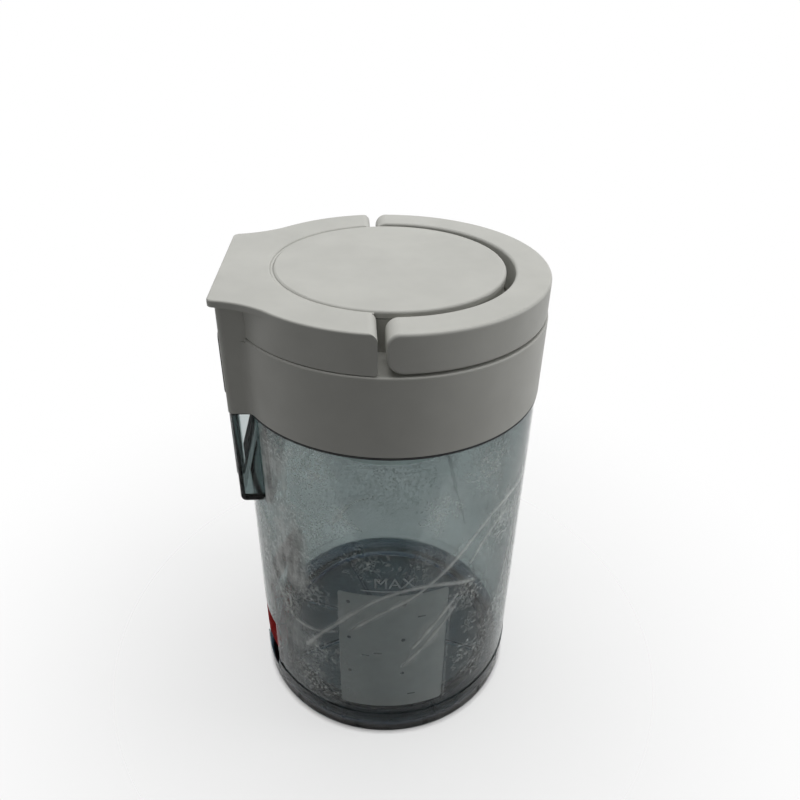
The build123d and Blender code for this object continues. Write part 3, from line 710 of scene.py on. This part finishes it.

# %% [markdown]
# The film's finish is a share of white over clear. It is nearly nothing where the film clings, more
# in hazy zones, veined and speckled where air is under it, and most along the folds, where the white
# is partly the film's own stress-whitening and partly a painted highlight on the ridges.

# %% Finish of the film
speckle_scale = 520.0
speckle_span = (0.53, 0.62)
vein_scale = 170.0
vein_level = 0.5
vein_half_width = 0.02
cloud_scale = 55.0
cloud_span = (0.4, 0.72)
streak_scale = 260.0
streak_stretch = (1, 1, 0.2)
streak_span = (0.42, 0.66)
wrinkle_scale = 240.0
wrinkle_strength = 0.5
wrinkle_depth = 0.0005
vein_cover = 0.62
speckle_cover = 0.75
haze_cover = (0.1, 0.46)
fold_cover = (0.5, 0.85)
thin_cover = (0.012, 0.055)
most_cover = 0.8


def film_clear(name):
    """Thin film: nearly invisible where it clings, white along folds with a painted highlight, veined
    where air is under it.
    """
    material, tree, shader = new_material(name)
    fill(shader, Base_Color=(0.9, 0.94, 0.91, 1), Specular_IOR_Level=0.5, Roughness=0.3)
    fold = add(tree, "Attribute", attribute_name="crease").outputs["Fac"]
    air = add(tree, "Attribute", attribute_name="frost").outputs["Fac"]
    dull = add(tree, "Attribute", attribute_name="haze").outputs["Fac"]
    speckle = spread(tree, object_noise(tree, speckle_scale, detail=6, roughness=0.75), *speckle_span)
    winding = object_noise(tree, vein_scale, detail=7, roughness=0.65)
    off_line = combine(tree, "ABSOLUTE", combine(tree, "SUBTRACT", winding, vein_level), 0.0)
    veins = spread(tree, off_line, 0.0, vein_half_width, 1.0, 0.0)
    cloud = spread(tree, object_noise(tree, cloud_scale, detail=6, roughness=0.65), *cloud_span)
    veined = combine(tree, "MULTIPLY", veins, vein_cover)
    speckled = combine(tree, "MULTIPLY", speckle, speckle_cover)
    airy = combine(tree, "ADD", veined, speckled)
    frosty = combine(tree, "MULTIPLY", air, airy)
    streaks = object_noise(tree, streak_scale, detail=6, roughness=0.6, stretch=streak_stretch)
    streaky = combine(tree, "ADD", cloud, spread(tree, streaks, *streak_span))
    hazy = combine(tree, "MULTIPLY", dull, spread(tree, streaky, 0, 2, *haze_cover))
    # Along the folds the white is partly stress-whitening and partly a painted highlight on the
    # ridges.
    folded = combine(tree, "MULTIPLY", fold, spread(tree, cloud, 0, 1, *fold_cover))
    thin = spread(tree, cloud, 0, 1, *thin_cover)
    under_air = combine(tree, "ADD", hazy, frosty)
    on_film = combine(tree, "ADD", folded, thin)
    cover = combine(tree, "ADD", under_air, on_film)
    join(tree, combine(tree, "MINIMUM", cover, most_cover), shader.inputs["Alpha"])
    wrinkles = object_noise(tree, wrinkle_scale, detail=6, roughness=0.6)
    bump(tree, shader, wrinkles, wrinkle_strength, wrinkle_depth)
    return material


film.data.materials.append(film_clear("film_clear"))
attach(film, "bin")
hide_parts("protective_film")

# %% [markdown]
# The label is a pale translucent sticker under the film. It starts as one flat face with round
# corners, is cut in strips so that it can bend, and is then wrapped as the film is.

# %% Label
label_cell = 0.002
label_width = 0.056
label_corner = 0.002
label_corner_segments = 6
label_colours = ((0.4, 0.45, 0.44), (0.48, 0.53, 0.52))
mottle_scale = 70.0
label_length = label_high.z - label_low.z
label_middle = (label_low.z + label_high.z) / 2


def label_sheet():
    """A flat sheet with round corners, cut into strips so that it can bend."""
    bm = bmesh.new()
    bmesh.ops.create_grid(bm, x_segments=1, y_segments=1, size=0.5)
    bmesh.ops.scale(bm, vec=(label_width, label_length, 1), verts=bm.verts)
    bmesh.ops.bevel(
        bm,
        geom=bm.verts[:],
        offset=label_corner,
        affect="VERTICES",
        segments=label_corner_segments,
        profile=0.5,
        material=-1,
    )
    cut_in_strips(bm, label_width / 2, label_cell)
    bmesh.ops.translate(bm, vec=(0, label_middle, 0), verts=bm.verts)
    wrap(bm, label_radius)
    return mesh_object("label_sheet", bm)


def pale_label(name):
    """Translucent sticker, a little mottled."""
    material, tree, shader = new_material(name)
    mottle = spread(tree, object_noise(tree, mottle_scale, detail=4), *noise_middle)
    join(tree, two_colours(tree, mottle, *label_colours), shader.inputs["Base Color"])
    fill(shader, Roughness=0.5, Alpha=0.7)
    return material


label = label_sheet()
label.data.materials.append(pale_label("label_pale"))
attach(label, "bin")
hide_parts("side_label")
print("label:", label_width, "by", round(label_length, 4), "m")

# %% [markdown]
# The label carries no words, only plain dots and short dashes. They are flat shapes of thin ink,
# laid just above it and wrapped with the same radius.

# %% Marks on the label
dot_radius = 0.0011
dot_segments = 20
mark_lift = 0.00004
dots = [(-107.5, 102), (-86, 102), (-107.5, 76), (-86, 76), (-107.5, 50), (-86, 50)]
dashes = [(-96, 66), (-79, 92), (-101, 64), (-82, 32)]
dash_size = (0.0042, 0.0009)
dash_strips = 6
print_wear_scale = 2200.0
print_wear_span = (0.35, 0.6)
print_cover = (0.35, 0.8)


def print_marks():
    """Dots and dashes of dark print, flat on the label."""
    bm = bmesh.new()
    for azimuth, level in dots:
        x, y = on_wall(azimuth, level)
        made = bmesh.ops.create_circle(bm, cap_ends=True, segments=dot_segments, radius=dot_radius)
        bmesh.ops.translate(bm, vec=(x, y, mark_lift), verts=made["verts"])
    for azimuth, level in dashes:
        x, y = on_wall(azimuth, level)
        made = bmesh.ops.create_grid(bm, x_segments=dash_strips, y_segments=1, size=0.5)
        bmesh.ops.scale(bm, vec=(*dash_size, 1), verts=made["verts"])
        bmesh.ops.translate(bm, vec=(x, y, mark_lift), verts=made["verts"])
    wrap(bm, label_radius)
    return mesh_object("label_marks", bm)


def dark_print(name):
    """Thin ink, worn in places."""
    material, tree, shader = new_material(name)
    wear = object_noise(tree, print_wear_scale, detail=4)
    join(tree, spread(tree, wear, *print_wear_span, *print_cover), shader.inputs["Alpha"])
    fill(shader, Base_Color=(0.05, 0.06, 0.065, 1), Roughness=0.6)
    return material


marks = print_marks()
marks.data.materials.append(dark_print("label_print"))
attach(marks, "bin")
print("marks:", len(dots), "dots and", len(dashes), "dashes")

# %% [markdown]
# The fill mark is moulded on the wall: a word that any such tank carries, and a line below it.
# Text becomes a mesh, gets cut into narrow strips so that it can bend, and is wrapped.

# %% Fill mark
mark_height = 0.0066
capital_share = 0.7
mark_colours = ((0.42, 0.46, 0.47), (0.58, 0.62, 0.63))
mark_wear_scale = 900.0
mark_level = 0.1135
mark_relief = 0.00022
strip = 0.0012
line_half = 0.016
line_height = 0.0008
line_drop = 0.0022


def fill_mark():
    """The word and its line, raised on the wall."""
    text = bpy.data.curves.new("fill_mark", "FONT")
    text.body = "MAX"
    text.align_x = "CENTER"
    text.size = mark_height / capital_share
    text.extrude = mark_relief / 2
    letters = bpy.data.objects.new("fill_mark", text)
    scene.collection.objects.link(letters)
    bpy.context.view_layer.update()
    shown = letters.evaluated_get(bpy.context.evaluated_depsgraph_get())
    shape = bpy.data.meshes.new_from_object(shown)
    bpy.data.objects.remove(letters)
    bm = bmesh.new()
    bm.from_mesh(shape)
    bpy.data.meshes.remove(shape)
    bmesh.ops.translate(bm, vec=(0, mark_level, mark_relief / 2), verts=bm.verts)
    made = bmesh.ops.create_cube(bm, size=1)
    bmesh.ops.scale(bm, vec=(2 * line_half, line_height, mark_relief), verts=made["verts"])
    bmesh.ops.translate(bm, vec=(0, mark_level - line_drop, mark_relief / 2), verts=made["verts"])
    cut_in_strips(bm, line_half, strip)
    wrap(bm, wall_radius)
    return mesh_object("fill_mark", bm, smooth=False)


def raised_mark(name):
    """Pale raised plastic, half clear."""
    material, tree, shader = new_material(name)
    worn = spread(tree, object_noise(tree, mark_wear_scale, detail=4), *noise_middle)
    join(tree, two_colours(tree, worn, *mark_colours), shader.inputs["Base Color"])
    fill(shader, Roughness=0.4, Alpha=0.5)
    return material


mark = fill_mark()
mark.data.materials.append(raised_mark("mark_pale"))
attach(mark, "bin")
print("fill mark:", len(mark.data.polygons), "faces")

# %% [markdown]
# The disc on top is set in the cover with a shallow groove round it. In CAD this gap is a plain
# clearance all the way down, so a thin ledge closes it just below the top. The handle's side stays
# open, because a fingertip has to get in there.

# %% Groove round the disc
cap_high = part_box("centre_cap")[1]
cover_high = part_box("top_cover")[1]
groove_width = 0.0012
groove_depth = 0.0007
ledge_thickness = 0.0008
ledge_room = 0.00006
ledge_end_gap = math.radians(1)
ledge_inner = cap_high.y + ledge_room
ledge_outer = cap_high.y + groove_width - ledge_room
ledge_from = math.acos(cover_high.x / ledge_outer) + ledge_end_gap
ledge_steps = 96


def spun(name, profile, start, sweep, steps):
    """Spins a closed profile of (radius, level) about the tank's axis, from one angle on."""
    bm = bmesh.new()
    face = bm.faces.new([bm.verts.new((reach, 0, level)) for reach, level in profile])
    bmesh.ops.rotate(bm, verts=bm.verts, cent=(0, 0, 0), matrix=Matrix.Rotation(start, 3, "Z"))
    bmesh.ops.spin(bm, geom=[face], cent=(0, 0, 0), axis=(0, 0, 1), angle=sweep, steps=steps)
    bmesh.ops.recalc_face_normals(bm, faces=bm.faces)
    return mesh_object(name, bm, smooth=False)


ledge_top = cap_high.z - groove_depth
ledge_low = ledge_top - ledge_thickness
ledge_profile = [
    (ledge_inner, ledge_low), (ledge_outer, ledge_low),
    (ledge_outer, ledge_top), (ledge_inner, ledge_top),
]
ledge = spun("groove_ledge", ledge_profile, ledge_from, 2 * (math.pi - ledge_from), ledge_steps)
ledge.data.materials.append(head_grey)
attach(ledge, "bin")
print("groove ledge:", len(ledge.data.polygons), "faces")

# %% [markdown]
# The thin black line between tank and head is partly the gasket and partly painted shade. Its CAD
# ring ends inside the seam, under the head's shadowed overhang, so its soft outer lip is added here
# in black rubber and also paints that shadow: a small profile that folds down over the tank's edge,
# spun round the axis and left open at the dock side, where the head has its column.

# %% Lip of the gasket, with painted seam shade
gasket_low, gasket_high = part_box("tank_gasket")
lip_room = 0.00005
lip_half_angle = math.radians(147)
lip_inner = gasket_high.x
lip_behind_head = 0.00015
lip_over_film = 0.0003
lip_outer = cad_high.x - lip_behind_head
lip_low = film_high.z + lip_over_film
lip_round = 0.00015
lip_steps = 144
lip_top = gasket_high.z - lip_room
lip_step = gasket_low.z + lip_room
lip_profile = [
    (lip_inner, lip_step), (wall_radius + lip_room, lip_step), (wall_radius + lip_room, lip_low),
    (lip_outer - lip_round, lip_low), (lip_outer, lip_low + lip_round),
    (lip_outer, lip_top - lip_round), (lip_outer - lip_round, lip_top), (lip_inner, lip_top),
]
# The lip is the gasket's black rubber, and it also paints the shadow in the seam under the head.
lip = spun("gasket_lip_and_seam_shade", lip_profile, -lip_half_angle, 2 * lip_half_angle, lip_steps)
lip.data.materials.append(rubber)
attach(lip, "bin")
print("gasket lip:", len(lip.data.polygons), "faces, out to", round(lip_outer, 4))

# %% [markdown]
# The return spring sits between the latch's lever and the back of its pocket. A real coil shortens
# when the lever is pressed. Here the CAD coil is copied into a steel mesh of its own, which takes
# the place of the CAD node.

# %% Return spring
spring_low, spring_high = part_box("latch_spring")

spring_bm = bmesh.new()
spring_bm.from_mesh(nodes["latch_spring"].data)
bmesh.ops.remove_doubles(spring_bm, verts=spring_bm.verts, dist=merge_distance)
spring = mesh_object("return_spring", spring_bm, smooth=False)
spring.data.materials.append(steel)
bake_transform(spring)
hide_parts("latch_spring")
spring_length = spring_high.x - spring_low.x
print("return spring:", len(spring.data.polygons), "faces, length", round(spring_length, 4))
